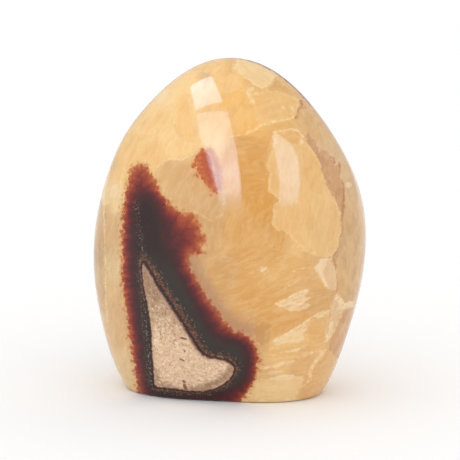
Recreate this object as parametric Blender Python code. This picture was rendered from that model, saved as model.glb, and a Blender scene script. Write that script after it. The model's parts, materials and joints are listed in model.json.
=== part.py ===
"""A freeform septarian stone: one polished nodule, sawn flat underneath so that it stands.

The stone stands on z = 0 with its broad face towards -Y. Its form is a radius around one inner point:
the face outline gives it from the front, half ellipses give it from the side, and a soft ellipse at each
height joins the two. The markings are only colour, so they aren't part of the form.
"""

import math

import bmesh
import bpy
import numpy as np

MM = 0.001

# Driving dimensions, in millimetres. The drops are how far below the inner point the front and the back
# would close if the stone weren't sawn off.
HEIGHT = 112.5
HALF_DEPTH = 29.0
CENTRE_HEIGHT = 50.0
FRONT_DROP = 61.8
BACK_DROP = 66.0
EDGE_ROUND = 1.1

# The face outline: (across, up) in millimetres, anticlockwise from the right end of the sawn base.
FACE_OUTLINE = (
    (31.6, 0.0),
    (36.0, 13.0),
    (41.3, 27.0),
    (44.4, 41.0),
    (45.0, 54.0),
    (43.6, 67.0),
    (38.9, 78.0),
    (32.3, 88.8),
    (24.6, 98.3),
    (16.0, 106.4),
    (7.6, 111.4),
    (0.0, HEIGHT),
    (-8.4, 110.6),
    (-15.8, 106.7),
    (-24.0, 98.2),
    (-33.7, 89.0),
    (-39.1, 77.8),
    (-43.0, 65.5),
    (-45.9, 50.0),
    (-45.6, 34.0),
    (-42.5, 20.0),
    (-39.2, 9.0),
    (-36.5, 0.0),
    (-25.5, -11.0),
    (0.0, -15.0),
    (21.5, -11.0),
)

# How the form is drawn: waves in the outline and how stiff they are, and how far a level section is from
# an ellipse towards a rectangle.
OUTLINE_WAVES = 12
OUTLINE_STIFFNESS = 0.08
SECTION_SQUARENESS = 0.25
CELLS_PER_FACE = 24
EDGE_SEGMENTS = 3

STONE_YELLOW = (0.80, 0.53, 0.24, 1.0)
STONE_ROUGHNESS = 0.12


def wave_columns(angles):
    """The columns 1, cos(k a) and sin(k a) of a closed wavy curve, for each angle."""
    columns = [np.ones_like(angles)]
    for k in range(1, OUTLINE_WAVES + 1):
        columns += [np.cos(k * angles), np.sin(k * angles)]
    return np.stack(columns, -1)


def smooth_radius(outline):
    """A function of the polar angle: the radius of a stiff closed curve drawn close to an outline's points."""
    points = np.array(outline) - (0.0, CENTRE_HEIGHT)
    angles = np.arctan2(points[:, 1], points[:, 0])
    radii = np.hypot(points[:, 0], points[:, 1])
    orders = np.repeat(np.arange(OUTLINE_WAVES + 1), 2)[1:]
    bending = np.diag(OUTLINE_STIFFNESS * orders ** 2)
    columns = np.vstack([wave_columns(angles), bending])
    weights, *_ = np.linalg.lstsq(columns, np.append(radii, np.zeros(len(orders))), rcond=None)
    return lambda angle: wave_columns(angle) @ weights


FACE_RADIUS = smooth_radius(FACE_OUTLINE)
CROWN_RISE = FACE_RADIUS(np.array([math.pi / 2]))[0]


def side_radius(elevation, to_back):
    """The side outline: half ellipses that close at the crown and, if it weren't sawn off, below the base."""
    drop = to_back * BACK_DROP + (1 - to_back) * FRONT_DROP
    reach = np.where(np.sin(elevation) > 0, CROWN_RISE, drop)
    return 1 / np.hypot(np.cos(elevation) / HALF_DEPTH, np.sin(elevation) / reach)


def stone_radius(azimuth, elevation):
    """Distance from the inner point to the surface, in millimetres."""
    to_right = (1 + np.cos(azimuth)) / 2
    to_back = (1 + np.sin(azimuth)) / 2
    across = to_right * FACE_RADIUS(elevation) + (1 - to_right) * FACE_RADIUS(math.pi - elevation)
    through = side_radius(elevation, to_back)
    power = 2 + SECTION_SQUARENESS * np.cos(elevation) ** 2
    inverse = np.abs(np.cos(azimuth) / across) ** power + np.abs(np.sin(azimuth) / through) ** power
    return inverse ** (-1 / power)


def base_elevation(azimuth):
    """The elevation, seen from the inner point, at which the surface meets the sawn plane."""
    low = np.full_like(azimuth, -math.pi / 2 + 0.01)
    high = np.zeros_like(azimuth)
    for _ in range(50):
        middle = (low + high) / 2
        below = CENTRE_HEIGHT + stone_radius(azimuth, middle) * np.sin(middle) < 0
        low = np.where(below, middle, low)
        high = np.where(below, high, middle)
    return high


def dome_points(cube):
    """Places on the stone for the points of a cube with no lower face, whose corners are at +-1."""
    warped = np.tan(cube[:, :2] * math.pi / 4)
    azimuth = np.arctan2(warped[:, 1], warped[:, 0])
    crown = np.arctan2(1.0, np.hypot(warped[:, 0], warped[:, 1]))
    foot = base_elevation(azimuth)
    share = (cube[:, 2] + 1) / 2
    elevation = np.where(share < 1, foot + share * (crown - foot), crown)
    radius = stone_radius(azimuth, elevation)
    level = radius * np.cos(elevation)
    height = CENTRE_HEIGHT + radius * np.sin(elevation)
    height = np.where(share <= 0, 0.0, height)
    return np.stack([level * np.cos(azimuth), level * np.sin(azimuth), height], -1)


def add_dome(mesh):
    """The polished surface: a subdivided open cube, drawn onto the stone's form."""
    bmesh.ops.create_cube(mesh, size=2.0)
    under = [face for face in mesh.faces if face.normal.z < -0.5]
    bmesh.ops.delete(mesh, geom=under, context="FACES_ONLY")
    bmesh.ops.subdivide_edges(mesh, edges=mesh.edges[:], cuts=CELLS_PER_FACE - 1, use_grid_fill=True)
    placed = dome_points(np.array([vertex.co for vertex in mesh.verts], float))
    middle = (placed.min(0) + placed.max(0)) / 2
    placed -= (middle[0], middle[1], 0.0)
    for vertex, place in zip(mesh.verts, placed * MM):
        vertex.co = place


def add_sawn_base(mesh):
    """The flat underside, and the small round where it meets the polished surface."""
    rim = [edge for edge in mesh.edges if edge.is_boundary]
    made = bmesh.ops.edgeloop_fill(mesh, edges=rim)
    bmesh.ops.recalc_face_normals(mesh, faces=mesh.faces[:])
    bmesh.ops.bevel(
        mesh,
        geom=made["faces"][0].edges[:],
        offset=EDGE_ROUND * MM,
        segments=EDGE_SEGMENTS,
        profile=0.5,
        affect="EDGES",
    )


def stone_material():
    """Polished yellow calcite, the stone's main colour."""
    material = bpy.data.materials.new("polished_septarian")
    material.use_nodes = True
    shader = material.node_tree.nodes["Principled BSDF"]
    shader.inputs["Base Color"].default_value = STONE_YELLOW
    shader.inputs["Roughness"].default_value = STONE_ROUGHNESS
    shader.inputs["Metallic"].default_value = 0.0
    return material


def build_stone():
    mesh = bmesh.new()
    add_dome(mesh)
    add_sawn_base(mesh)
    data = bpy.data.meshes.new("septarian_stone")
    mesh.to_mesh(data)
    mesh.free()
    data.materials.append(stone_material())
    data.shade_smooth()
    data.set_sharp_from_angle(angle=math.radians(40))
    stone = bpy.data.objects.new("septarian_stone", data)
    bpy.context.scene.collection.objects.link(stone)
    return stone


def main():
    for old in list(bpy.data.objects):
        bpy.data.objects.remove(old)
    build_stone()


main()
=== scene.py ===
"""The look of a freeform septarian stone: yellow calcite, a dark aragonite band and a limestone core.

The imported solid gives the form. A finer copy of it carries the markings as distances, in millimetres, to
outlines drawn in the picture plane and on the back. The material turns those distances into colour.
"""

import json
import math

import bmesh
import bpy
import numpy as np
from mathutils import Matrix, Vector
from mathutils.bvhtree import BVHTree

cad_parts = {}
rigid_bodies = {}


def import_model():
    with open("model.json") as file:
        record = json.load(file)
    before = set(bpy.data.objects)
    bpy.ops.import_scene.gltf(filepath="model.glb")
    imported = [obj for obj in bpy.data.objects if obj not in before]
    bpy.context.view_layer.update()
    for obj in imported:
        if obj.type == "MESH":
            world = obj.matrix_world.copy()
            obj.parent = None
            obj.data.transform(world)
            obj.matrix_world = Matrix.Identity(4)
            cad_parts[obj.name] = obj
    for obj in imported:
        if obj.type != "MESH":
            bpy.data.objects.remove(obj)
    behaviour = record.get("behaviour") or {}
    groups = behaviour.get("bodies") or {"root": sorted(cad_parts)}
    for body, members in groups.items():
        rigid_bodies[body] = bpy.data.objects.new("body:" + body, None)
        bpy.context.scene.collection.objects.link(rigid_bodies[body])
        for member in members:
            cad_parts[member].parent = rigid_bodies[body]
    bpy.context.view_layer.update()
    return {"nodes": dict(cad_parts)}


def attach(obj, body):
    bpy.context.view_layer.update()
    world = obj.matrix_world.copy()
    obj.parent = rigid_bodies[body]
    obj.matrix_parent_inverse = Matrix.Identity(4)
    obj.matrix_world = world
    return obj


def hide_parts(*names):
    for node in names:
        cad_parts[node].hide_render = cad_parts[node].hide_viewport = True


MM = 0.001
NODE = "septarian_stone"

# The camera. The picture is square, and AXIS_PIXEL is where it shows the axis point at AXIS_HEIGHT.
PICTURE_PIXELS = 460
PIXELS_PER_MM = 3.015
CAMERA_DISTANCE = 750.0 * MM
CAMERA_AZIMUTH = math.radians(10.0)
CAMERA_ELEVATION = math.radians(11.0)
AXIS_HEIGHT = 56.4 * MM
AXIS_PIXEL = (229.1, 223.8)
SENSOR_WIDTH = 36.0

# How fine the stone's mesh is: subdivisions everywhere, and one more where it faces the camera.
FINE_LEVELS = 2
SMOOTH_LEVELS = 4
FACING_LIMIT = 0.80
UNDER_LIMIT = -0.999
WELD_DISTANCE = 0.01 * MM

# How deep the front's markings reach into the stone, as millimetres behind its middle.
LIMESTONE_DEPTH = 1.0
CRUST_WIDTH = 2.2
BAND_DEPTH = 10.0
CRYSTAL_DEPTH = 6.0
SPOT_DEPTH = -12.0
FRONT_FADE = 4.0

# The polish, the calcite's glow from within, and how much light the gloss adds to a colour in this studio.
STONE_IOR = 1.48
CALCITE_ROUGHNESS = 0.07
LIMESTONE_ROUGHNESS = 0.28
LIMESTONE_RELIEF = 0.1 * MM
CALCITE_GLOW = 0.30
GLOW_REACH = (1.8, 1.0, 0.5)
GLOSS_LIFT = 0.036
DARKEST = 0.004

# Outlines of the markings on the front, in pixels of the 460 x 460 picture.
LIMESTONE_OUTLINE = (
    (143, 265), (143, 276), (145, 290), (148, 304), (150, 318), (152, 331), (152, 345), (153, 358),
    (155, 386), (165, 387), (176, 388), (186, 390), (196, 391), (207, 390), (215, 388), (222, 384),
    (228, 380), (232, 374), (233, 368), (229, 364), (225, 362), (217, 360), (209, 359), (202, 356),
    (196, 350), (190, 341), (178, 321), (171, 311), (165, 301), (158, 291), (152, 281), (147, 271),
)
CRUST_OUTLINE = (
    (141, 250), (146, 255), (154, 265), (160, 273), (164, 281), (170, 290), (184, 310), (190, 320),
    (197, 331), (202, 340), (206, 348), (212, 353), (222, 354), (231, 356), (237, 361), (240, 368),
    (237, 376), (232, 383), (225, 388), (217, 391), (207, 394), (197, 395), (185, 394), (170, 393),
    (158, 392), (151, 391), (149, 384), (147, 358), (146, 346), (144, 331), (143, 318), (142, 302),
    (138, 270), (138, 257),
)
BLACK_OUTLINE = (
    (143, 197), (149, 200), (154, 205), (157, 213), (160, 226), (163, 240), (168, 253), (182, 279),
    (188, 291), (195, 304), (202, 316), (208, 328), (216, 337), (228, 341), (240, 343), (246, 353),
    (247, 364), (246, 376), (241, 386), (226, 391), (210, 396), (190, 398), (165, 397), (153, 393),
    (148, 380), (144, 360), (141, 340), (135, 280), (134, 262), (133, 246), (133, 230), (134, 216),
    (137, 204),
)
BAND_OUTLINE = (
    (130, 171), (133, 166), (138, 165), (142, 163), (146, 166), (149, 170), (152, 176), (156, 182),
    (160, 190), (168, 202), (172, 207), (179, 210), (185, 213), (190, 211), (194, 216), (199, 220),
    (201, 226), (201, 232), (206, 238), (205, 245), (202, 249), (205, 253), (198, 256), (191, 255),
    (189, 261), (191, 269), (195, 276), (200, 284), (205, 293), (210, 301), (216, 308), (222, 316),
    (228, 325), (234, 331), (242, 333), (249, 336), (255, 344), (258, 353), (260, 362), (258, 372),
    (254, 382), (249, 391), (243, 399), (238, 410), (200, 414), (150, 405), (139, 395), (136, 384),
    (134, 370), (132, 354), (129, 336), (127, 318), (124, 300), (122, 284), (121, 266), (121, 236),
    (122, 220), (123, 206), (125, 194), (128, 181),
)
INCLUSION_OUTLINES = (
    (
        (199, 152), (203, 148), (207, 151), (210, 157), (214, 171), (215, 178), (216, 184), (218, 189),
        (218, 194), (214, 193), (210, 190), (206, 186), (197, 171), (197, 165), (194, 160), (196, 156),
    ),
    ((191, 166), (193, 162), (197, 163), (196, 169), (194, 170)),
    ((209, 195), (211, 194), (212, 196), (210, 197)),
    ((194, 175), (196, 173), (199, 178), (197, 179)),
)

# Whitish feathered crystals on the front: the turn of the grain in degrees, and the outline in pixels.
FEATHERS = (
    (60, (
        (245, 90), (249, 87), (254, 87), (255, 90), (251, 92), (252, 97), (255, 104), (250, 103), (247, 97),
    )),
    (60, ((254, 91), (258, 92), (259, 95), (255, 95))),
    (80, ((232, 68), (234, 63), (238, 63), (238, 69), (233, 71))),
    (40, ((257, 270), (261, 266), (267, 267), (269, 271), (264, 275), (260, 271))),
    (60, (
        (314, 268), (319, 259), (328, 258), (326, 266), (323, 272), (326, 281), (332, 292), (326, 288),
        (319, 277),
    )),
    (30, (
        (334, 299), (336, 294), (341, 297), (345, 303), (352, 301), (354, 306), (347, 307), (341, 310),
        (336, 310), (340, 305),
    )),
    (80, ((326, 342), (326, 334), (329, 324), (333, 320), (333, 330), (330, 339))),
    (24, (
        (276, 305), (284, 300), (300, 292), (308, 290), (309, 293), (304, 297), (312, 298), (305, 302),
        (311, 305), (308, 308), (300, 311), (291, 312), (284, 308),
    )),
    (28, (
        (272, 342), (276, 338), (284, 335), (292, 330), (300, 326), (307, 322), (306, 330), (303, 334),
        (305, 340), (298, 343), (288, 343), (276, 346),
    )),
    (24, ((310, 318), (318, 314), (329, 310), (329, 313), (320, 318))),
    (4, ((268, 378), (278, 375), (292, 375), (303, 377), (292, 380), (278, 381))),
    (20, ((258, 401), (263, 399), (268, 401), (262, 403))),
    (20, ((280, 401), (288, 397), (292, 400), (284, 403))),
    (70, ((299, 143), (301, 138), (304, 142), (301, 145))),
    (60, ((281, 108), (283, 105), (285, 110))),
    (60, ((290, 107), (292, 105), (296, 113), (293, 112))),
    (12, ((258, 368), (272, 365), (284, 361), (295, 359), (294, 364), (284, 366), (270, 369))),
    (4, ((258, 375), (272, 371), (290, 370), (276, 374))),
    (14, ((280, 353), (296, 349), (308, 344), (296, 352))),
    (80, ((343, 186), (347, 182), (353, 183), (350, 188))),
    (82, ((110, 190), (112, 184), (118, 184), (119, 192), (115, 198), (110, 196))),
)

# Lines on the front, in pixels, each with its half width in millimetres.
SEAM_LINES = (
    (0.1, ((230, 137), (240, 135), (246, 134))),
    (0.34, ((246, 134), (252, 131), (257, 129), (261, 125), (266, 124))),
    (0.22, ((266, 124), (274, 122), (285, 120), (293, 118), (297, 113), (300, 105))),
    (0.22, ((274, 133), (283, 131), (291, 129), (298, 131), (303, 137))),
    (0.2, ((200, 149), (195, 153), (188, 157), (180, 160), (170, 159), (162, 163), (157, 167))),
    (0.02, ((290, 274), (298, 269), (306, 268), (316, 268))),
    (0.02, ((282, 291), (290, 285), (300, 280))),
    (0.25, ((276, 304), (300, 292), (308, 290))),
    (0.15, ((278, 306), (292, 304), (302, 304))),
    (0.25, ((272, 342), (280, 338), (290, 332), (307, 321), (318, 314), (330, 310))),
    (0.1, ((262, 369), (272, 367), (284, 363))),
    (0.12, ((304, 357), (312, 353), (324, 350))),
    (0.5, ((325, 350), (319, 359), (313, 364), (310, 372), (310, 378))),
    (0.12, ((303, 386), (308, 382), (316, 384))),
    (0.15, ((303, 386), (297, 394), (293, 402))),
    (0.12, ((104, 190), (104, 220), (106, 300), (108, 330))),
    (0.12, ((124, 168), (121, 180), (120, 196))),
    (0.14, ((152, 119), (157, 110), (160, 105), (163, 101))),
    (0.06, ((148, 150), (152, 139), (155, 128))),
    (0.06, ((174, 124), (176, 110), (182, 97))),
    (0.08, ((166, 152), (170, 143), (175, 134))),
    (0.08, ((176, 139), (186, 137), (197, 140))),
    (0.08, ((183, 148), (190, 144), (198, 145))),
    (0.1, ((186, 74), (196, 71), (206, 72))),
)
VEIN_LINES = (
    (0.18, ((342, 180), (344, 186), (344, 200), (343, 213), (341, 222), (343, 229))),
    (0.1, ((343, 229), (340, 238), (340, 248), (335, 254), (332, 262), (336, 270), (337, 281), (337, 290))),
    (0.02, ((337, 290), (333, 300), (331, 310), (330, 320), (327, 335))),
    (0.5, ((301, 101), (302, 106), (299, 110), (296, 118))),
    (0.15, ((305, 108), (307, 109))),
    (0.3, ((334, 260), (336, 267))),
    (0.12, ((334, 157), (335, 161), (334, 166))),
    (0.16, ((339, 163), (340, 170), (339, 178))),
)

# Lines well in front of the stone's middle: flecks and stains in the limestone, the plume of specks above
# it, its shaded left contact, the dusk beside the band, and the inclusion's core and fading right side.
SPOT_LINES = {
    "fleck": (
        (0.3, ((181, 338), (186, 339))),
        (0.22, ((180, 359), (184, 361))),
        (0.18, ((184, 350), (185, 352))),
        (0.3, ((183, 381), (185, 382))),
        (0.5, ((184, 385), (186, 389))),
    ),
    "stain": (
        (0.9, ((192, 391), (205, 388), (218, 382), (227, 376), (233, 368))),
        (0.2, ((156, 370), (157, 384), (174, 388))),
    ),
    "plume": ((0, ((143, 262), (142, 250), (140, 235), (138, 218), (136, 203))),),
    "shaded_contact": ((0, ((145, 305), (147, 325), (149, 350), (150, 370), (152, 384))),),
    "dusk": (
        (0, (
            (191, 258), (193, 266), (199, 279), (206, 291), (214, 303), (224, 316), (235, 327), (247, 331),
        )),
    ),
    "inclusion_core": ((0, ((205, 156), (206, 163), (210, 177), (211, 182))),),
    "inclusion_shade": ((0, ((210, 151), (214, 159), (217, 168), (218, 176), (219, 187))),),
}

# The front's markings, each with how deep it reaches and its outlines or lines.
FRONT_OUTLINES = (
    ("limestone", LIMESTONE_DEPTH, (LIMESTONE_OUTLINE,)),
    ("crust", LIMESTONE_DEPTH + CRUST_WIDTH, (CRUST_OUTLINE,)),
    ("black", (LIMESTONE_DEPTH + BAND_DEPTH) / 2, (BLACK_OUTLINE,)),
    ("inclusion", SPOT_DEPTH, INCLUSION_OUTLINES),
)
FRONT_LINES = (
    ("seam", CRYSTAL_DEPTH, SEAM_LINES),
    ("vein", CRYSTAL_DEPTH, VEIN_LINES),
    *((name, SPOT_DEPTH, lines) for name, lines in SPOT_LINES.items()),
)

# Tones as they show on the polished stone, 0 to 255: first the calcite's, then those of its markings.
TONES = {
    "ivory": (254, 226, 176), "cream": (253, 213, 152), "straw": (247, 202, 138), "gold": (247, 193, 116),
    "pale": (243, 212, 160), "wheat": (241, 198, 136), "honey": (233, 186, 121), "amber": (227, 173, 106),
    "syrup": (224, 163, 85), "burnt": (206, 154, 98), "tan": (218, 173, 121), "fawn": (229, 183, 130),
    "sand": (220, 181, 133), "ash": (226, 195, 148), "clay": (219, 188, 150), "blush": (233, 198, 160),
    # shade and the tone after it are painted shade, for the calcite's darker left and right edges.
    "shade": (204, 168, 126), "dun": (184, 146, 104), "rose": (203, 153, 112), "bright": (252, 224, 174),
    "umber": (204, 148, 90), "milky": (253, 230, 190), "whitish": (248, 222, 182),
    "back light": (248, 214, 158), "back dark": (207, 158, 104), "vein": (188, 126, 88),
    "dusk": (184, 140, 112), "halo": (204, 146, 98), "dusty": (146, 96, 82), "black": (72, 66, 63),
    "warm black": (69, 55, 55), "red shade": (188, 98, 70), "orange halo": (222, 156, 104),
    "ember": (196, 102, 64), "orange": (214, 132, 78), "red": (188, 92, 66), "pit": (62, 55, 52),
    "brown grain": (156, 120, 99), "pale grain": (166, 154, 136), "dark speck": (110, 96, 82),
    "grey speck": (146, 134, 114), "heart": (241, 207, 174), "tip": (146, 112, 90),
    "streak": (198, 160, 118), "smudge": (190, 148, 110), "brown speck": (160, 120, 88),
    "white speck": (252, 238, 216), "rare speck": (132, 92, 70), "stain": (160, 124, 96),
    "limestone rim": (190, 155, 136), "fleck": (124, 70, 54),
}

# Runs of tone: from the band's rim to its black, from the limestone to the crust's edge, and in the stone.
BAND_TONES = (
    (0.0, (203, 132, 86)), (0.06, (190, 108, 72)), (0.14, (173, 91, 66)), (0.26, (155, 77, 63)),
    (0.40, (134, 65, 60)), (0.54, (114, 60, 60)), (0.68, (99, 58, 60)), (0.84, (87, 57, 59)),
    (1.0, (77, 58, 57)),
)
CONTACT_TONES = (
    (0.0, (186, 150, 130)), (0.10, (148, 116, 101)), (0.20, (90, 69, 62)), (0.28, (68, 54, 49)),
    (0.40, (70, 54, 50)), (0.50, (104, 72, 62)), (0.60, (116, 82, 70)), (0.74, (98, 74, 65)),
    (1.0, (68, 60, 56)),
)
LIMESTONE_TONES = (
    (0.34, (184, 148, 117)), (0.44, (211, 177, 144)), (0.54, (229, 196, 162)), (0.64, (248, 224, 194)),
)

# Soft clouds of each tone in the front's calcite: across, down and radius in pixels.
CALCITE_CLOUDS = {
    "cream": ((158, 120, 26), (182, 96, 22), (186, 140, 22)),
    "ivory": ((158, 100, 18),),
    "straw": ((150, 152, 16), (212, 66, 14), (232, 84, 12), (130, 160, 14), (215, 112, 16)),
    "honey": ((226, 64, 8), (264, 96, 14), (284, 104, 12), (282, 270, 18)),
    "gold": ((238, 104, 16), (246, 122, 16)),
    "sand": (
        (202, 72, 6), (330, 272, 12), (108, 228, 13), (112, 300, 12), (103, 314, 10), (122, 334, 14),
        (316, 116, 12),
    ),
    "amber": (
        (248, 148, 16), (244, 222, 20), (262, 244, 24), (256, 286, 20), (254, 306, 12), (290, 312, 18),
    ),
    "syrup": ((246, 172, 16), (258, 200, 22)),
    "fawn": ((184, 180, 18), (312, 276, 14), (302, 368, 14), (266, 374, 8), (314, 390, 16)),
    "tan": (
        (206, 206, 12), (214, 230, 16), (206, 264, 16), (226, 290, 17), (318, 304, 12), (244, 324, 9),
        (258, 342, 12),
    ),
    "wheat": ((288, 352, 14),),
    "pale": ((276, 390, 14), (115, 196, 8)),
    # Painted shade: these clouds darken the calcite towards the stone's left and right edges.
    "shade": ((94, 244, 14), (360, 250, 26)),
    "ash": ((112, 262, 12), (116, 158, 8), (122, 366, 14)),
    "clay": ((346, 176, 20),),
}

# Crystals with crisp edges on the front, in layers from the broadest to the smallest: each one's tone, how
# strong that is, how bright its rim is, the turn of its grain from level in degrees, and its outline.
BROAD_CRYSTALS = (
    # Painted shade along the stone's left edge. Its crisp inner side follows a real seam.
    ("dun", 0.44, 0.1, 88, (
        (80, 190), (101, 178), (106, 192), (104, 204), (107, 216), (104, 230), (106, 246), (104, 258),
        (107, 272), (104, 284), (107, 294), (103, 304), (106, 314), (98, 310), (80, 276),
    )),
    ("tan", 0.5, 0.5, 62, (
        (154, 170), (158, 165), (163, 162), (171, 160), (180, 160), (184, 157), (202, 148), (214, 160),
        (222, 180), (226, 200), (224, 216), (210, 222), (196, 214), (180, 212), (162, 192), (156, 180),
    )),
    ("tan", 0.35, 0.1, 92, (
        (303, 94), (301, 106), (296, 114), (294, 121), (300, 129), (306, 134), (312, 140), (318, 143),
        (322, 151), (329, 152), (335, 158), (339, 165), (342, 178), (344, 192), (344, 212), (343, 230),
        (340, 248), (337, 260), (337, 276), (338, 291), (346, 297), (356, 300), (390, 300), (400, 200),
        (370, 110), (320, 70),
    )),
    ("amber", 0.3, 0, 22, (
        (206, 262), (230, 244), (262, 246), (290, 254), (316, 264), (326, 284), (330, 306), (316, 314),
        (296, 322), (276, 332), (256, 332), (236, 322), (220, 300), (208, 280),
    )),
    ("rose", 0.65, 0, 75, (
        (341, 315), (350, 308), (380, 300), (370, 340), (345, 366), (329, 350), (330, 341), (335, 328),
    )),
    ("honey", 0.2, 0, 12, (
        (262, 346), (274, 348), (300, 344), (324, 350), (336, 360), (350, 372), (330, 410), (240, 412),
        (256, 390), (260, 368),
    )),
)
MIDDLE_CRYSTALS = (
    ("wheat", 0.75, 0.6, 84, (
        (268, 178), (268, 190), (273, 195), (279, 200), (274, 205), (273, 214), (272, 224), (275, 229),
        (279, 231), (285, 231), (290, 238), (297, 243), (302, 251), (310, 254), (320, 257), (331, 257),
        (337, 250), (340, 238), (342, 224), (340, 212), (336, 200), (331, 192), (327, 183), (323, 172),
        (319, 160), (313, 150), (308, 142), (303, 137), (296, 132), (285, 132), (275, 134), (272, 150),
        (266, 163), (269, 174),
    )),
    ("pale", 0.8, 0.9, 140, (
        (236, 56), (236, 66), (238, 72), (241, 76), (246, 80), (250, 82), (253, 85), (260, 88), (267, 88),
        (270, 85), (273, 80), (278, 75), (280, 60), (255, 48),
    )),
    ("wheat", 0.5, 0.35, 20, (
        (247, 90), (258, 94), (266, 90), (277, 91), (290, 95), (302, 100), (300, 107), (297, 113),
        (285, 119), (275, 121), (266, 123), (259, 121), (254, 119), (252, 115), (255, 112), (255, 106),
        (251, 100),
    )),
    ("burnt", 0.42, 0.2, 35, ((275, 78), (296, 92), (302, 99), (290, 95), (277, 91), (268, 90), (271, 84))),
    ("syrup", 0.25, 0, 8, (
        (229, 138), (240, 137), (248, 136), (254, 133), (260, 128), (266, 126), (290, 122), (299, 129),
        (303, 137), (296, 133), (284, 132), (272, 135), (268, 150), (258, 163), (264, 170), (266, 182),
        (258, 196), (244, 196), (242, 170),
    )),
    ("honey", 0.5, 0.5, 168, (
        (306, 331), (307, 321), (318, 317), (330, 311), (329, 326), (326, 340), (324, 350), (314, 352),
        (300, 358), (284, 359), (266, 355), (270, 348), (290, 345), (304, 342),
    )),
    ("pale", 0.6, 0.5, 172, (
        (254, 399), (259, 389), (264, 383), (270, 379), (281, 375), (294, 375), (304, 378), (302, 385),
        (297, 393), (292, 404), (262, 406),
    )),
    ("pale", 0.75, 0.5, 90, (
        (107, 188), (117, 187), (121, 193), (119, 199), (112, 203), (104, 206), (101, 196),
    )),
    ("gold", 0.4, 0.5, 100, (
        (174, 106), (180, 96), (188, 92), (192, 112), (198, 130), (196, 144), (180, 140), (172, 126),
        (176, 116),
    )),
    ("straw", 0.6, 0.6, 60, (
        (140, 124), (152, 110), (166, 104), (172, 112), (168, 124), (158, 128), (148, 136), (138, 134),
    )),
    ("straw", 0.5, 0.6, 62, (
        (136, 146), (144, 138), (156, 136), (162, 142), (158, 152), (150, 160), (138, 158),
    )),
)
SMALL_CRYSTALS = (
    ("rose", 0.9, 0, 80, (
        (304, 131), (309, 135), (313, 139), (317, 142), (319, 154), (323, 150), (327, 151), (330, 156),
        (333, 156), (335, 162), (334, 168), (339, 162), (341, 170), (340, 178), (343, 181), (345, 190),
        (344, 213), (341, 212), (337, 203), (333, 196), (329, 190), (325, 181), (322, 172), (320, 162),
        (316, 154), (311, 148), (307, 141),
    )),
    ("burnt", 0.65, 0, 60, (
        (256, 325), (263, 322), (271, 325), (271, 334), (268, 343), (261, 346), (256, 340), (254, 332),
    )),
    ("blush", 0.65, 0.7, 70, (
        (317, 266), (321, 259), (331, 258), (336, 262), (337, 290), (330, 291), (325, 283), (320, 274),
    )),
    ("blush", 0.65, 0.6, 78, (
        (331, 305), (333, 298), (336, 294), (341, 297), (345, 303), (354, 301), (354, 307), (344, 310),
        (334, 332), (329, 342), (325, 342), (327, 330), (330, 318),
    )),
    ("honey", 0.75, 0, 84, (
        (302, 147), (311, 151), (319, 163), (325, 182), (322, 196), (310, 190), (303, 170),
    )),
    ("amber", 0.5, 0, 20, ((277, 134), (290, 132), (299, 133), (305, 140), (299, 145), (290, 143))),
    ("straw", 0.6, 0.4, 60, ((216, 84), (226, 80), (243, 84), (246, 90), (232, 92), (221, 91))),
)
CRYSTAL_LAYERS = (BROAD_CRYSTALS, MIDDLE_CRYSTALS, SMALL_CRYSTALS)
GRAIN_TURN = 75

# The calcite's grain: the flakes' scale, tone and strength, and the lengths of flakes, streaks and barbs in
# millimetres, along the grain, into the stone and across the grain.
FLAKES = ((0.5, "bright", 0.11), (0.9, "umber", 0.10), (1.5, "bright", 0.12))
FLAKE_SIZE = (7.0, 4.0, 2.6)
STREAK_SIZE = (6.0, 2.5, 0.9)
BARB_SIZE = (3.5, 1.5, 0.45)

# The back's markings, in millimetres: across and up, as the stone's own X and Z. A start says how far behind
# the middle a marking begins.
BACK_LIMESTONE_OUTLINES = (
    ((5, 102), (11, 102.5), (17, 98), (20, 92), (22, 84), (19, 76), (12, 74), (6, 82), (3, 92)),
    ((-34, 44), (-25, 47), (-14, 43), (-5, 33), (2, 20), (-2, 12), (-14, 15), (-24, 24), (-33, 31)),
)
BACK_START = -0.6
BACK_BLACK_START = 3.0
BACK_LIMESTONE_START = 6.0
BACK_BAND_WIDTH = 9.0
BACK_BLACK_WIDTH = 4.5
BACK_CRYSTALS_PER_MM = 0.075
BACK_CLOUDS = {
    "cream": ((-20, 96, 18),),
    "straw": ((4, 70, 16),),
    "amber": ((-22, 64, 16), (34, 22, 14)),
    "tan": ((30, 60, 14),),
    "honey": ((22, 40, 16),),
    "sand": ((-4, 50, 12),),
    "pale": ((12, 12, 14),),
    "ash": ((-42, 40, 12),),
    "clay": ((44, 50, 10),),
}
BACK_SEAM_LINES = (
    (0.3, ((-38, 66), (-10, 78), (-4, 90), (-8, 104))),
    (0.25, ((-10, 78), (2, 66), (4, 52), (14, 42), (28, 40), (42, 46))),
    (0.25, ((4, 52), (-8, 48))),
    (0.3, ((14, 42), (20, 26), (30, 10))),
)

# The surround: where it is brightest, the cosine from there at which it is dimmest, and both strengths.
KEY_DIRECTION = (0.0, -0.45, 0.85)
DIM_SIDE = -0.6
KEY_LIGHT = 1.45
DIM_LIGHT = 0.76
SURROUND_COLOUR = (0.8, 0.8, 0.8, 1.0)

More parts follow.
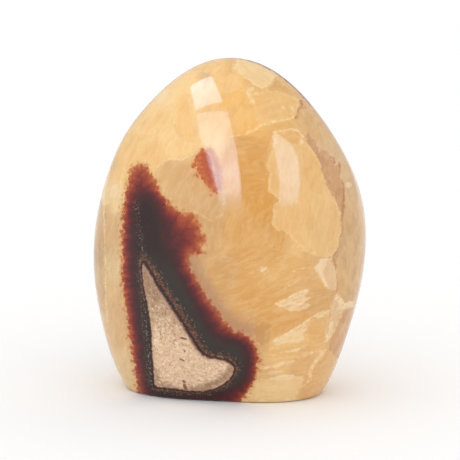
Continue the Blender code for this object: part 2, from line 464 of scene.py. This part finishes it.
# Reflections of the softboxes on the stone, in pixels: each one's left and right edge, from its top down.
SOFTBOX_DISTANCE = 700.0 * MM
SOFTBOXES = {
    "upper_softbox": {
        "left": ((190, 86), (192, 97), (196, 110)),
        "right": ((213, 77), (218, 90), (223, 102)),
        "light": (7.0, 7.0, 6.4),
        "tint": (0.80, 0.94, 1.30, 1.0),
    },
    "front_softbox": {
        "left": ((198, 115), (200, 135), (206, 153), (212, 172), (217, 190), (220, 203), (222, 216)),
        "right": ((228, 112), (233, 132), (237, 152), (240, 172), (241, 190), (241, 203), (240, 216)),
        "light": (4.2, 3.9, 5.2, 7.2, 6.4, 2.2, 0.0),
        "tint": (0.84, 1.08, 1.40, 1.0),
    },
    "side_softbox": {
        "left": ((272, 133), (274, 146), (277, 162), (279, 180), (279, 198), (279, 208)),
        "right": ((273, 133), (291, 144), (299, 162), (300, 180), (299, 198), (298, 208)),
        "light": (3.2, 3.6, 4.3, 4.4, 4.0, 1.2),
        "tint": (0.66, 1.00, 1.36, 1.0),
    },
}
FLOOR_HALF = 6.0
FLOOR_COLOUR = (0.98, 0.98, 0.98, 1.0)


def view_axes():
    """The camera's directions: right, up and back."""
    level = math.cos(CAMERA_ELEVATION)
    back = np.array(
        [math.sin(CAMERA_AZIMUTH) * level, -math.cos(CAMERA_AZIMUTH) * level, math.sin(CAMERA_ELEVATION)]
    )
    right = np.array([math.cos(CAMERA_AZIMUTH), math.sin(CAMERA_AZIMUTH), 0.0])
    return right, np.cross(back, right), back


RIGHT, UP, BACK = view_axes()
MIDDLE = np.array([0.0, 0.0, AXIS_HEIGHT])
PIXELS_PER_METRE = PIXELS_PER_MM / MM


def picture_places(points):
    """Where points, in metres, show in the picture, in pixels."""
    offsets = points - MIDDLE
    scale = PIXELS_PER_METRE * CAMERA_DISTANCE / (CAMERA_DISTANCE - offsets @ BACK)
    return np.stack([AXIS_PIXEL[0] + offsets @ RIGHT * scale, AXIS_PIXEL[1] - offsets @ UP * scale], -1)


def camera_place():
    """The camera's own place, which puts AXIS_PIXEL where it belongs with no shift of the lens."""
    half = PICTURE_PIXELS / 2
    across = (half - AXIS_PIXEL[0]) / PIXELS_PER_METRE
    down = (half - AXIS_PIXEL[1]) / PIXELS_PER_METRE
    return MIDDLE + RIGHT * across - UP * down + BACK * CAMERA_DISTANCE


def sight_line(pixel):
    """The direction in which the camera sees a pixel."""
    half = PICTURE_PIXELS / 2
    across = (pixel[0] - half) / PIXELS_PER_METRE
    down = (pixel[1] - half) / PIXELS_PER_METRE
    return Vector(RIGHT * across - UP * down - BACK * CAMERA_DISTANCE).normalized()


def clear_scene():
    for old in list(bpy.data.objects):
        bpy.data.objects.remove(old)


def add_object(name, data):
    made = bpy.data.objects.new(name, data)
    bpy.context.scene.collection.objects.link(made)
    return made


def mesh_from(name, form):
    mesh = bpy.data.meshes.new(name)
    form.to_mesh(mesh)
    form.free()
    return mesh


def search_tree(mesh):
    form = bmesh.new()
    form.from_mesh(mesh)
    tree = BVHTree.FromBMesh(form)
    form.free()
    return tree


def subdivided(mesh, levels):
    """A mesh's smooth subdivision, as a new mesh."""
    holder = add_object("holder", mesh)
    smooth = holder.modifiers.new("smooth", "SUBSURF")
    smooth.levels = levels
    smooth.render_levels = levels
    evaluated = holder.evaluated_get(bpy.context.evaluated_depsgraph_get())
    made = bpy.data.meshes.new_from_object(evaluated)
    bpy.data.objects.remove(holder)
    return made


def quad_form(node):
    """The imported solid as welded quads, with its sawn base as one face."""
    form = bmesh.new()
    form.from_mesh(node.data)
    bmesh.ops.remove_doubles(form, verts=form.verts, dist=WELD_DISTANCE)
    under = [face for face in form.faces if face.normal.z < UNDER_LIMIT]
    bmesh.ops.dissolve_faces(form, faces=under)
    triangles = [face for face in form.faces if len(face.verts) == 3]
    bmesh.ops.join_triangles(form, faces=triangles, angle_face_threshold=1.0, angle_shape_threshold=math.pi)
    return mesh_from("stone_form", form)


def smooth_tree(mesh):
    """A search tree of the smooth form that the fine mesh is drawn onto."""
    smooth = subdivided(mesh, SMOOTH_LEVELS)
    tree = search_tree(smooth)
    bpy.data.meshes.remove(smooth)
    return tree


def refine_front(form):
    """Divides once more the faces that look towards the camera."""
    towards = Vector(BACK)
    front = {edge for face in form.faces if face.normal.dot(towards) > FACING_LIMIT for edge in face.edges}
    bmesh.ops.subdivide_edges(form, edges=list(front), cuts=1, use_grid_fill=True)


def polished_stone(node):
    """The stone as shown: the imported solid's smooth form, finest on the front."""
    quads = quad_form(node)
    tree = smooth_tree(quads)
    fine = subdivided(quads, FINE_LEVELS)
    form = bmesh.new()
    form.from_mesh(fine)
    refine_front(form)
    for vertex in form.verts:
        vertex.co = tree.find_nearest(vertex.co)[0]
    for spare in (quads, fine):
        bpy.data.meshes.remove(spare)
    mesh = mesh_from("polished_stone", form)
    mesh.shade_smooth()
    return add_object("polished_stone", mesh)


def line_distance(places, line):
    """Distance from each place to an open line, and how far along the line its nearest point is."""
    line = np.array(line, float)
    starts = line[:-1]
    runs = line[1:] - starts
    lengths = np.hypot(runs[:, 0], runs[:, 1])
    reached = np.concatenate([[0.0], np.cumsum(lengths)[:-1]])
    best = np.full(len(places), np.inf)
    along = np.zeros(len(places))
    for start, run, length, before in zip(starts, runs, lengths, reached):
        offset = places - start
        share = np.clip(offset @ run / length**2, 0, 1)
        gap = np.hypot(*(offset - share[:, None] * run).T)
        nearer = gap < best
        best = np.where(nearer, gap, best)
        along = np.where(nearer, before + share * length, along)
    return best, along


def within(places, outline):
    """Whether each place is inside a closed outline."""
    found = np.zeros(len(places), bool)
    for (x0, y0), (x1, y1) in zip(outline, outline[1:] + outline[:1]):
        if y0 == y1:
            continue
        spans = (places[:, 1] < y0) != (places[:, 1] < y1)
        crossing = x0 + (places[:, 1] - y0) * (x1 - x0) / (y1 - y0)
        found ^= spans & (places[:, 0] < crossing)
    return found


def outline_distance(places, outline):
    """Distance to a closed outline, below zero inside it, and how far round it the nearest point is."""
    gap, along = line_distance(places, outline + outline[:1])
    return np.where(within(places, outline), -gap, gap), along


def front_gap(places, outline):
    """Distance in millimetres to an outline in the picture, below zero inside it."""
    return outline_distance(places, outline)[0] / PIXELS_PER_MM


def nearest_line(places, lines, unit):
    """Distance in millimetres to the edge of the nearest of several lines with half widths."""
    return np.min([line_distance(places, line)[0] / unit - half_width for half_width, line in lines], axis=0)


def wavy(places):
    """Places pushed about by gentle waves, so that soft clouds have no round edges."""
    across, down = places.T
    shift_across = np.sin(down / 11.0 + 1.7 * np.sin(across / 19.0))
    shift_down = np.sin(across / 13.0 + 1.3 * np.sin(down / 17.0) + 2.0)
    return places + 5.0 * np.stack([shift_across, shift_down], -1)


def blended_tones(places, clouds):
    """The mix of soft clouds of tone at each place."""
    tones = np.zeros((len(places), 3))
    total = np.zeros(len(places))
    for name, spots in clouds.items():
        for across, down, radius in spots:
            squared = ((places - (across, down)) ** 2).sum(-1) / radius**2
            weight = (0.4 + squared) ** -3.0
            tones += weight[:, None] * np.array(tone_paint(name)[:3])
            total += weight
    return tones / total[:, None]


def crystal_fields(places, crystals):
    """Distance to a layer's nearest crystal, its tone and rim, their strength, and its grain's turn."""
    gaps = np.stack([front_gap(places, crystal[-1]) for crystal in crystals])
    nearest = gaps.argmin(0)
    tones = np.array([(*tone_paint(tone)[:3], rim) for tone, _, rim, _, _ in crystals])
    strengths = np.array([strength for _, strength, _, _, _ in crystals])
    turns = np.radians([turn for _, _, _, turn, _ in crystals])
    return gaps.min(0), tones[nearest], strengths[nearest], turns[nearest]


def front_crystals(places, behind, fields, colours):
    """The front's crystals, layer by layer, and the way their grain runs."""
    turn = np.full(len(places), math.radians(GRAIN_TURN))
    for number, crystals in enumerate(CRYSTAL_LAYERS, 1):
        gap, tones, strengths, turns = crystal_fields(places, crystals)
        gap = np.maximum(gap, behind - CRYSTAL_DEPTH)
        turn = np.where(gap < 0, turns, turn)
        fields[f"crystal_gap_{number}"] = gap
        fields[f"crystal_strength_{number}"] = strengths
        colours[f"crystal_{number}"] = tones
    gaps = np.stack([front_gap(places, outline) for _, outline in FEATHERS])
    turns = np.radians([turn for turn, _ in FEATHERS])[gaps.argmin(0)]
    feather = np.maximum(gaps.min(0), behind - CRYSTAL_DEPTH)
    fields["feather"] = feather
    fields["turn"] = np.where(feather < 0.3, turns, turn)


def front_fields(points):
    """The front's markings: distances in millimetres, below zero inside, and tones."""
    places = picture_places(points)
    behind = points[:, 1] / MM
    band, band_run = outline_distance(places, BAND_OUTLINE)
    fields = {
        "band": np.maximum(band / PIXELS_PER_MM, behind - BAND_DEPTH),
        "band_run": band_run / PIXELS_PER_MM,
        "height": -places[:, 1] / PIXELS_PER_MM,
        "front": 1 / (1 + np.exp((behind - CRYSTAL_DEPTH) / FRONT_FADE)),
    }
    for name, depth, outlines in FRONT_OUTLINES:
        gap = np.min([front_gap(places, outline) for outline in outlines], axis=0)
        fields[name] = np.maximum(gap, behind - depth)
    for name, depth, lines in FRONT_LINES:
        fields[name] = np.maximum(nearest_line(places, lines, PIXELS_PER_MM), behind - depth)
    colours = {"calcite": blended_tones(wavy(places), CALCITE_CLOUDS)}
    front_crystals(places, behind, fields, colours)
    return fields, colours


def rounded(outline):
    """A closed outline with its corners cut off twice, so that it curves."""
    points = np.array(outline, float)
    for _ in range(2):
        following = np.roll(points, -1, 0)
        step = (following - points) / 4
        points = np.stack([points + step, following - step], 1).reshape(-1, 2)
    return points.tolist()


def add_back_fields(fields, colours, points):
    """Joins the back's own limestone, band, seams and tones to the front's markings."""
    places = points[:, ::2] / MM
    start = -points[:, 1] / MM
    bent = places + 0.9 * np.sin(places[:, ::-1] / 4.0 + 1.5 * np.sin(places / 7.0))
    outlines = [outline_distance(bent, rounded(outline)) for outline in BACK_LIMESTONE_OUTLINES]
    flat = np.min([gap for gap, _ in outlines], axis=0)
    run = np.where(outlines[0][0] < outlines[1][0], outlines[0][1], outlines[1][1])
    sway = 1.6 * np.sin(places[:, 0] / 6.0 + 1.4 * np.sin(places[:, 1] / 8.0))
    back = {
        "limestone": np.maximum(flat, start + BACK_LIMESTONE_START),
        "crust": np.maximum(flat, start + BACK_LIMESTONE_START) - CRUST_WIDTH,
        "black": np.maximum(flat - BACK_BLACK_WIDTH - sway / 2, start + BACK_BLACK_START),
        "band": np.maximum(flat - BACK_BAND_WIDTH - sway, start + BACK_START),
        "seam": np.maximum(nearest_line(places, BACK_SEAM_LINES, 1.0), start + BACK_START),
    }
    fields["band_run"] = np.where(back["band"] < fields["band"], run, fields["band_run"])
    for name, values in back.items():
        fields[name] = np.minimum(fields[name], values)
    front = fields["front"][:, None]
    colours["calcite"] = front * colours["calcite"] + (1 - front) * blended_tones(places, BACK_CLOUDS)


def mark_stone(stone):
    """Writes the markings onto the stone's vertices."""
    count = len(stone.data.vertices)
    flat = np.zeros(count * 3)
    stone.data.vertices.foreach_get("co", flat)
    points = flat.reshape(-1, 3)
    fields, colours = front_fields(points)
    add_back_fields(fields, colours, points)
    for name, values in fields.items():
        layer = stone.data.attributes.new(name, "FLOAT", "POINT")
        layer.data.foreach_set("value", values.astype(np.float32))
    for name, tones in colours.items():
        layer = stone.data.attributes.new(name, "FLOAT_COLOR", "POINT")
        opaque = np.ones((count, 4))
        opaque[:, : tones.shape[1]] = tones
        layer.data.foreach_set("color", opaque.astype(np.float32).ravel())


def paint(red, green, blue):
    """A colour as the polished stone shows it, 0 to 255, without the light that its gloss adds."""
    shares = [channel / 255 for channel in (red, green, blue)]
    linear = [s / 12.92 if s <= 0.04045 else ((s + 0.055) / 1.055) ** 2.4 for s in shares]
    return (*(max(channel - GLOSS_LIFT, DARKEST) for channel in linear), 1.0)


def tone_paint(name):
    return paint(*TONES[name])


class Graph:
    """Short ways to make nodes for a material or a world. A value may be a field's name."""

    def __init__(self, owner):
        owner.use_nodes = True
        self.tree = owner.node_tree

    def node(self, kind, inputs=(), **settings):
        made = self.tree.nodes.new("ShaderNode" + kind)
        for setting, value in settings.items():
            setattr(made, setting, value)
        for socket, value in inputs:
            self.feed(made.inputs[socket], value)
        return made

    def feed(self, socket, value):
        if isinstance(value, str):
            value = self.node("Attribute", attribute_name=value).outputs["Fac"]
        if isinstance(value, bpy.types.NodeSocket):
            self.tree.links.new(value, socket)
        else:
            socket.default_value = value

    def tone(self, name):
        """A colour attribute's colour and its fourth channel."""
        made = self.node("Attribute", attribute_name=name)
        return made.outputs["Color"], made.outputs["Alpha"]

    def math(self, operation, first, second=0.0, third=0.0):
        inputs = [(0, first), (1, second), (2, third)]
        return self.node("Math", inputs, operation=operation).outputs[0]

    def add(self, first, second):
        return self.math("ADD", first, second)

    def times(self, *factors):
        """The product of some factors. A factor of three parts is a share."""
        values = [self.share(*factor) if isinstance(factor, tuple) else factor for factor in factors]
        product = values[0]
        for value in values[1:]:
            product = self.math("MULTIPLY", product, value)
        return product

    def waved(self, value, *swings):
        """A value plus noises that are centred on a half, each times its own strength."""
        for swing, strength in swings:
            value = self.add(value, self.math("MULTIPLY_ADD", swing, strength, -strength / 2))
        return value

    def portion(self, first, second):
        """How far a place lies between two borders, from its distances to them: 0 at the first border."""
        first = self.math("MAXIMUM", first, 0.0)
        second = self.math("MAXIMUM", second, 0.0)
        return self.math("DIVIDE", first, self.add(self.add(first, second), 0.01))

    def share(self, value, none, full, low=0.0, high=1.0):
        """low where value is at none, high where it is at full, and a smooth run between."""
        inputs = zip(("Value", "From Min", "From Max", "To Min", "To Max"), (value, none, full, low, high))
        return self.node("MapRange", inputs, interpolation_type="SMOOTHSTEP").outputs["Result"]

    def noise(self, vector, scale, detail=2.0, rough=0.5):
        inputs = [("Vector", vector), ("Scale", scale), ("Detail", detail), ("Roughness", rough)]
        return self.node("TexNoise", inputs).outputs["Fac"]

    def cells(self, vector, scale, feature="F1"):
        return self.node("TexVoronoi", [("Vector", vector), ("Scale", scale)], feature=feature)

    def vector(self, x, y, z=0.0):
        return self.node("CombineXYZ", [(0, x), (1, y), (2, z)]).outputs[0]

    def vector_math(self, operation, first, socket, second):
        return self.node("VectorMath", [(0, first), (socket, second)], operation=operation).outputs[0]

    def turned(self, vector):
        """A place with its X turned along the grain of the crystal there."""
        inputs = [("Vector", vector), ("Axis", (0.0, 1.0, 0.0)), ("Angle", "turn")]
        return self.node("VectorRotate", inputs, rotation_type="AXIS_ANGLE").outputs[0]

    def stretched(self, vector, size):
        return self.node("Mapping", [("Vector", vector), ("Scale", size)], vector_type="TEXTURE").outputs[0]

    def mix(self, share, first, second):
        made = self.node("Mix", data_type="RGBA")
        for socket, value in ((0, share), (6, first), (7, second)):
            self.feed(made.inputs[socket], value)
        return made.outputs[2]

    def cover(self, colour, tone, *shares):
        """A colour with a named tone laid over it, as much as the product of the shares says."""
        return self.mix(self.times(*shares), colour, tone_paint(tone))

    def between(self, tone, share, other):
        """A colour that runs from one named tone to another."""
        return self.mix(share, tone_paint(tone), tone_paint(other))

    def blend(self, share, first, second):
        """A number between two others."""
        return self.node("Mix", [(0, share), (2, first), (3, second)], data_type="FLOAT").outputs[0]

    def ramp(self, value, stops):
        made = self.node("ValToRGB", [("Fac", value)])
        elements = made.color_ramp.elements
        while len(elements) < len(stops):
            elements.new(1.0)
        for element, (place, colour) in zip(elements, stops):
            element.position = place
            element.color = paint(*colour)
        return made.outputs["Color"]


def stone_coordinates(graph):
    """The stone's own coordinates in millimetres, and the same pushed about a little."""
    place = graph.vector_math("SCALE", graph.node("TexCoord").outputs["Object"], "Scale", 1 / MM)
    inputs = [("Vector", place), ("Scale", 0.22), ("Detail", 3.0)]
    swirl = graph.node("TexNoise", inputs).outputs["Color"]
    centred = graph.vector_math("SUBTRACT", swirl, 1, (0.5, 0.5, 0.5))
    push = graph.vector_math("SCALE", centred, "Scale", 5.0)
    return place, graph.vector_math("ADD", place, 1, push)


def calcite_colour(graph, place, pushed, jag):
    """Honey-yellow calcite: cloudy, in crystals with jagged, paler rims."""
    # The calcite clouds and the first crystal layer hold painted shade at the stone's left and right edges.
    colour = graph.tone("calcite")[0]
    blotch = graph.noise(pushed, 0.17, 5.0, 0.6)
    colour = graph.cover(colour, "bright", (blotch, 0.52, 0.74), 0.22)
    colour = graph.cover(colour, "umber", (blotch, 0.47, 0.27), 0.20)
    colour = back_crystals(graph, colour, pushed)
    grain = graph.noise(place, 0.9, 4.0, 0.6)
    for number in range(1, len(CRYSTAL_LAYERS) + 1):
        gap = graph.waved(f"crystal_gap_{number}", (jag, 3.0))
        tone, rim = graph.tone(f"crystal_{number}")
        inside = graph.times((gap, 0.14, -0.14), f"crystal_strength_{number}")
        colour = graph.mix(inside, colour, tone)
        edge = graph.times((gap, -1.15, -0.55), (gap, 0.35, -0.25))
        edge = graph.times(edge, (grain, 0.40, 0.62))
        colour = graph.cover(colour, "bright", edge, rim, 0.65)
    return grain_colour(graph, colour, place)


def back_crystals(graph, colour, pushed):
    """Crystals of slightly different tone, away from the front."""
    hidden = graph.math("SUBTRACT", 1.0, "front")
    cell = graph.cells(pushed, BACK_CRYSTALS_PER_MM)
    depth = graph.node("SeparateColor", [(0, cell.outputs["Color"])]).outputs[0]
    colour = graph.cover(colour, "back light", (depth, 0.45, 1.0), hidden, 0.55)
    colour = graph.cover(colour, "back dark", (depth, 0.45, 0.0), hidden, 0.45)
    edge_gap = graph.cells(pushed, BACK_CRYSTALS_PER_MM, "DISTANCE_TO_EDGE").outputs["Distance"]
    return graph.cover(colour, "bright", (edge_gap, 0.03, 0.0), hidden, 0.4)


def grain_colour(graph, colour, place):
    """Overlapping clear flakes, soft streaks along each crystal's own grain, and a fine cloudiness."""
    turned = graph.turned(place)
    for scale, tone, strength in FLAKES:
        flakes = graph.noise(graph.stretched(turned, FLAKE_SIZE), scale, 4.0, 0.6)
        colour = graph.cover(colour, tone, (flakes, 0.50, 0.57), strength)
    streaks = graph.noise(graph.stretched(turned, STREAK_SIZE), 1.0, 4.0, 0.6)
    colour = graph.cover(colour, "bright", (streaks, 0.54, 0.74), 0.20)
    colour = graph.cover(colour, "umber", (streaks, 0.46, 0.26), 0.16)
    fine = graph.noise(place, 1.7, 4.0, 0.75)
    colour = graph.cover(colour, "milky", (fine, 0.55, 0.75), 0.16)
    return graph.cover(colour, "umber", (fine, 0.45, 0.25), 0.16)


def line_colours(graph, colour, place, jag):
    """Whitish feathers, light seams between crystals and brown veins."""
    grain = graph.noise(place, 1.1, 4.0, 0.65)
    seam = graph.share(graph.waved("seam", (jag, 1.6)), 0.32, -0.15)
    colour = graph.cover(colour, "bright", seam, (grain, 0.32, 0.60), 0.75)
    barbs = graph.noise(graph.stretched(graph.turned(place), BARB_SIZE), 1.0, 3.0, 0.6)
    feather = graph.share(graph.waved("feather", (jag, 1.8)), 0.3, -0.4)
    colour = graph.cover(colour, "whitish", feather, (barbs, 0.30, 0.56), 0.72)
    vein = graph.share(graph.waved("vein", (jag, 1.0)), 0.3, -0.2)
    return graph.cover(colour, "vein", vein, (grain, 0.3, 0.5), 0.8)


def band_fibres(graph):
    """Fine and broad fibres that run from the band's rim inwards."""
    fine = graph.vector(graph.times("band_run", 1.1), graph.times("band", 0.25))
    broad = graph.vector(graph.times("band_run", 0.45), graph.times("band", 0.1), 7.0)
    return graph.noise(fine, 1.0, 4.0, 0.7), graph.noise(broad, 1.0, 2.0, 0.5)


def band_colour(graph, colour, place, jag):
    """Aragonite: orange at its feathered rim, then red-brown, maroon and nearly black."""
    fine, broad = band_fibres(graph)
    lumps = graph.noise(place, 1.5, 5.0, 0.8)
    knobs = graph.noise(place, 1.0, 3.0, 0.6)
    beads = graph.cells(place, 0.62).outputs["Distance"]
    dusk = graph.waved("dusk", (knobs, 2.0))
    colour = graph.cover(colour, "dusk", (dusk, 5.0, 0.2), 0.68)
    rim = graph.waved("band", (fine, 0.15), (broad, 1.8), (knobs, 3.4), (lumps, 0.6), (beads, 1.5))
    halo = graph.times((rim, 1.6, 0.0), (lumps, 0.38, 0.60))
    colour = graph.cover(colour, "halo", halo, 0.75)
    inwards = graph.portion(graph.times(rim, -1.0), graph.waved("black", (jag, 2.4)))
    inwards = graph.waved(inwards, (fine, 0.5), (broad, 0.65), (lumps, 0.25), (knobs, 0.3))
    dark = graph.ramp(inwards, BAND_TONES)
    dusty = graph.times((dusk, 2.6, 0.2), (inwards, 0.75, 0.3))
    dark = graph.cover(dark, "dusty", dusty, 0.5)
    deep = graph.share(graph.waved("black", (lumps, 2.0)), 0.3, -2.2)
    dark = graph.mix(deep, dark, graph.between("black", graph.share("height", -92.0, -80.0), "warm black"))
    return graph.mix(graph.share(rim, 0.42, -0.36), colour, dark)


def inclusion_colour(graph, colour, place):
    """The small red-orange inclusion above the band, ragged on its left and fading to its right."""
    lumps = graph.noise(place, 1.1, 4.0, 0.7)
    shade = graph.share(graph.waved("inclusion_shade", (lumps, 2.0)), 2.3, 0.2)
    colour = graph.cover(colour, "red shade", shade, 0.66)
    gap = graph.waved("inclusion", (lumps, 2.6))
    colour = graph.cover(colour, "orange halo", (gap, 1.1, 0.0), 0.4)
    faded = graph.share("inclusion_shade", 0.0, 1.4)
    body = graph.times((gap, 0.2, -0.3), graph.blend(faded, 0.45, 1.0))
    colour = graph.mix(body, colour, graph.between("ember", graph.share(lumps, 0.36, 0.66), "orange"))
    core = graph.share(graph.waved("inclusion_core", (lumps, 2.4)), 2.0, 0.6)
    return graph.cover(colour, "red", core, body, 0.72)


def contact_colour(graph, colour, place, stone_gap):
    """The dark line and the granular brown crust round the limestone, and the specks beyond them."""
    grains = graph.noise(place, 1.4, 2.0, 0.8)
    coarse = graph.noise(place, 0.8, 4.0, 0.75)
    crust = graph.waved("crust", (grains, 2.2), (coarse, 1.2))
    across = graph.portion(stone_gap, graph.times(crust, -1.0))
    lines = graph.ramp(graph.waved(across, (coarse, 0.25)), CONTACT_TONES)
    outer = graph.share(across, 0.40, 0.52)
    lines = graph.cover(lines, "pit", (grains, 0.47, 0.40), outer, 0.7)
    light = graph.times((grains, 0.54, 0.63), outer)
    lines = graph.cover(lines, "brown grain", light, 0.7)
    shaded = graph.share("shaded_contact", 2.2, 0.8)
    lines = graph.cover(lines, "pit", shaded, 0.7)
    lines = graph.cover(lines, "pale grain", shaded, light, 0.55)
    colour = graph.mix(graph.share(crust, 0.15, -0.15), colour, lines)
    return contact_specks(graph, colour, place, grains, crust)


def contact_specks(graph, colour, place, grains, crust):
    """Grey specks beyond the crust, thinning out away from it and from the plume above its tip."""
    plume = graph.times(("plume", 2.6, 0.2), 0.9)
    near = graph.math("MAXIMUM", graph.share("crust", 2.3, -0.3), plume)
    sparks = graph.add(graph.noise(place, 1.6, 2.0, 0.8), graph.times(near, 0.16))
    sparse = graph.times((sparks, 0.69, 0.77), (crust, -0.1, 0.3))
    speck = graph.between("dark speck", graph.share(grains, 0.4, 0.6), "grey speck")
    return graph.mix(graph.times(sparse, graph.times(near, 0.9)), colour, speck)


def limestone_colour(graph, place, stone_gap):
    """Pale grainy limestone, browner and streaky towards its upper tip."""
    colour = graph.ramp(graph.noise(place, 0.32, 5.0, 0.78), LIMESTONE_TONES)
    heart = graph.share("height", -105.0, -121.0)
    colour = graph.cover(colour, "heart", heart, 0.68)
    tip = graph.times(("height", -113.0, -92.0), "front")
    colour = graph.cover(colour, "tip", tip, 0.95)
    layers = graph.noise(graph.vector(graph.times(stone_gap, 1.5), graph.times("height", 0.1)), 1.0)
    streak = graph.times((layers, 0.50, 0.60), ("height", -116.0, -100.0))
    colour = graph.cover(colour, "streak", streak, 0.6)
    specks = graph.noise(place, 1.05, 2.0, 0.8)
    smudge = graph.noise(place, 0.7, 3.0, 0.7)
    rare = graph.noise(place, 0.85, 3.0, 0.8)
    colour = graph.cover(colour, "smudge", (smudge, 0.54, 0.66), graph.blend(heart, 0.5, 0.3))
    colour = graph.cover(colour, "brown speck", (specks, 0.55, 0.65), graph.blend(heart, 0.75, 0.45))
    colour = graph.cover(colour, "white speck", (specks, 0.43, 0.35), graph.blend(tip, 0.65, 0.3))
    colour = graph.cover(colour, "rare speck", (rare, 0.64, 0.68), 0.75)
    stain = graph.share(graph.waved("stain", (smudge, 3.0), (specks, -4.0)), 1.7, -0.8)
    colour = graph.cover(colour, "stain", stain, 0.84)
    colour = graph.cover(colour, "limestone rim", (stone_gap, -1.1, 0.1), 0.6)
    fleck = graph.share(graph.waved("fleck", (specks, 0.8)), 0.15, -0.1)
    return graph.cover(colour, "fleck", fleck, 0.85)


def septarian_material():
    """The whole stone's material, polished all over, a little duller on the limestone."""
    material = bpy.data.materials.new("septarian_calcite")
    graph = Graph(material)
    place, pushed = stone_coordinates(graph)
    jag = graph.noise(place, 0.6, 5.0, 0.7)
    colour = calcite_colour(graph, place, pushed, jag)
    colour = line_colours(graph, colour, place, jag)
    colour = inclusion_colour(graph, colour, place)
    colour = band_colour(graph, colour, place, jag)
    stone_gap = graph.waved("limestone", (graph.noise(place, 0.9, 4.0, 0.65), 1.3))
    colour = contact_colour(graph, colour, place, stone_gap)
    in_limestone = graph.share(stone_gap, 0.12, -0.12)
    colour = graph.mix(in_limestone, colour, limestone_colour(graph, place, stone_gap))
    sockets = graph.tree.nodes["Principled BSDF"].inputs
    graph.feed(sockets["Base Color"], colour)
    graph.feed(sockets["Roughness"], graph.blend(in_limestone, CALCITE_ROUGHNESS, LIMESTONE_ROUGHNESS))
    graph.feed(sockets["Subsurface Weight"], graph.times(("band", -0.5, 1.0), CALCITE_GLOW))
    sockets["Subsurface Radius"].default_value = GLOW_REACH
    sockets["Subsurface Scale"].default_value = MM
    sockets["IOR"].default_value = STONE_IOR
    relief = graph.times(graph.noise(place, 2.0, 3.0), in_limestone)
    bump = graph.node("Bump", [("Strength", 0.25), ("Distance", LIMESTONE_RELIEF), ("Height", relief)])
    graph.feed(sockets["Normal"], bump.outputs["Normal"])
    return material


def floor_material():
    material = bpy.data.materials.new("studio_floor")
    material.use_nodes = True
    sockets = material.node_tree.nodes["Principled BSDF"].inputs
    sockets["Base Color"].default_value = FLOOR_COLOUR
    sockets["Roughness"].default_value = 0.9
    sockets["Specular IOR Level"].default_value = 0.0
    return material


def add_floor():
    """A plain pale floor, wide enough to fill the picture."""
    form = bmesh.new()
    bmesh.ops.create_grid(form, x_segments=1, y_segments=1, size=FLOOR_HALF)
    mesh = mesh_from("studio_floor", form)
    mesh.materials.append(floor_material())
    add_object("studio_floor", mesh)


def softbox_material(tint):
    """A plain tinted light, as strong at each rung as the softbox says."""
    material = bpy.data.materials.new("softbox")
    graph = Graph(material)
    light = graph.node("Emission", [("Color", tint), ("Strength", "light")])
    graph.feed(graph.tree.nodes["Material Output"].inputs["Surface"], light.outputs["Emission"])
    graph.tree.nodes.remove(graph.tree.nodes["Principled BSDF"])
    return material


def mirrored_place(tree, eye, pixel):
    """Where a light has to be for the polished stone to show it at a pixel."""
    sight = sight_line(pixel)
    place, normal, _, _ = tree.ray_cast(eye, sight)
    return place + sight.reflect(normal) * SOFTBOX_DISTANCE


def add_softbox(name, tree, eye, box):
    """A light whose reflection on the stone lies between two edges in the picture."""
    form = bmesh.new()
    level = form.verts.layers.float.new("light")
    rungs = []
    for left, right, light in zip(box["left"], box["right"], box["light"]):
        rung = [form.verts.new(mirrored_place(tree, eye, pixel)) for pixel in (left, right)]
        for vertex in rung:
            vertex[level] = light
        rungs.append(rung)
    for upper, lower in zip(rungs, rungs[1:]):
        form.faces.new((upper[0], upper[1], lower[1], lower[0]))
    mesh = mesh_from(name, form)
    mesh.materials.append(softbox_material(box["tint"]))
    softbox = add_object(name, mesh)
    softbox.visible_camera = False
    softbox.visible_diffuse = False


def add_lights(stone):
    """The softboxes that the stone mirrors, and the surround."""
    tree = search_tree(stone.data)
    eye = Vector(camera_place())
    for name, box in SOFTBOXES.items():
        add_softbox(name, tree, eye, box)
    add_surround()


def add_surround():
    """A white surround, brightest high in front of the stone and dimmest low behind it."""
    world = bpy.data.worlds.new("studio")
    bpy.context.scene.world = world
    graph = Graph(world)
    place = graph.node("TexCoord").outputs["Generated"]
    inputs = [(0, place), (1, Vector(KEY_DIRECTION).normalized())]
    facing = graph.node("VectorMath", inputs, operation="DOT_PRODUCT").outputs["Value"]
    sockets = graph.tree.nodes["Background"].inputs
    sockets["Color"].default_value = SURROUND_COLOUR
    graph.feed(sockets["Strength"], graph.share(facing, DIM_SIDE, 1.0, DIM_LIGHT, KEY_LIGHT))


def add_camera():
    data = bpy.data.cameras.new("camera")
    data.sensor_width = SENSOR_WIDTH
    data.lens = SENSOR_WIDTH * PIXELS_PER_METRE * CAMERA_DISTANCE / PICTURE_PIXELS
    camera = add_object("camera", data)
    camera.location = camera_place()
    camera.rotation_euler = (math.pi / 2 - CAMERA_ELEVATION, 0.0, CAMERA_AZIMUTH)
    bpy.context.scene.camera = camera


def main():
    clear_scene()
    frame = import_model()
    stone = polished_stone(frame["nodes"][NODE])
    mark_stone(stone)
    stone.data.materials.append(septarian_material())
    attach(stone, "root")
    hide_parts(NODE)
    add_floor()
    add_lights(stone)
    add_camera()
    bpy.context.scene.view_settings.view_transform = "Standard"


main()
